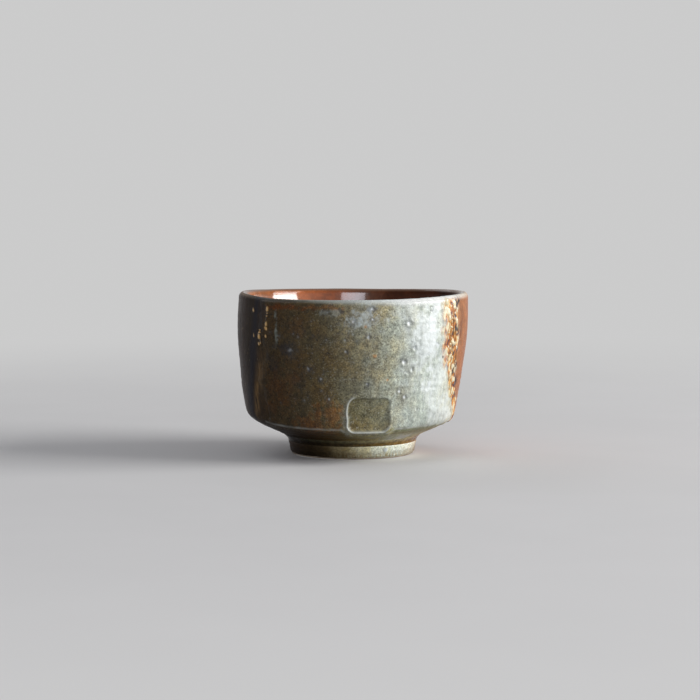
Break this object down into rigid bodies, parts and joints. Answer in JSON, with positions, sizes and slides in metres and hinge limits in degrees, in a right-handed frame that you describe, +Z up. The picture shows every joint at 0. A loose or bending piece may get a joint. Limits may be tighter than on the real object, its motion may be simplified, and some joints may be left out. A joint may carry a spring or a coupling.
{
  "type": "guinomi sake cup",
  "caption": "Low thrown stoneware sake cup: upright wall, ridge turning under to a narrow foot ring, glossy liner, ash-covered front and a bare pressed panel.",
  "frame": {"origin": "centre of the foot ring's bearing face, at the middle of the cup's footprint", "axes": "+Z up along the cup's axis, -Y towards the ash-covered front with the pressed panel, +X to the right seen from the front"},
  "size_m": [0.065, 0.0652, 0.0454],
  "materials": {
    "bowl_clay": "fired stoneware clay, fine grit, matt",
    "foot_clay": "bare turned stoneware, fine grit, wiped bearing edge",
    "liner_glaze": "very glossy orange-brown glaze, darker where thick",
    "outer_glaze": "thin satin glaze flashed from orange-red to purple-brown",
    "ash_coat": "grainy melted ash, olive to grey-green and pale celadon, pitted",
    "ash_runs": "glossy amber runs of melted ash with pale beads",
    "groove_glaze": "glossy amber-brown glaze pooled above the foot",
    "foot_glaze": "thin satin olive-tan glaze over turning marks"
  },
  "bodies": {
    "root": {"clay_bowl": "bowl_clay", "foot_ring": "foot_clay", "liner_glaze": "liner_glaze", "outer_glaze": "outer_glaze", "ash_coat": "ash_coat", "ash_runs": "ash_runs", "groove_glaze": "groove_glaze", "foot_glaze": "foot_glaze"}
  },
  "joints": []
}
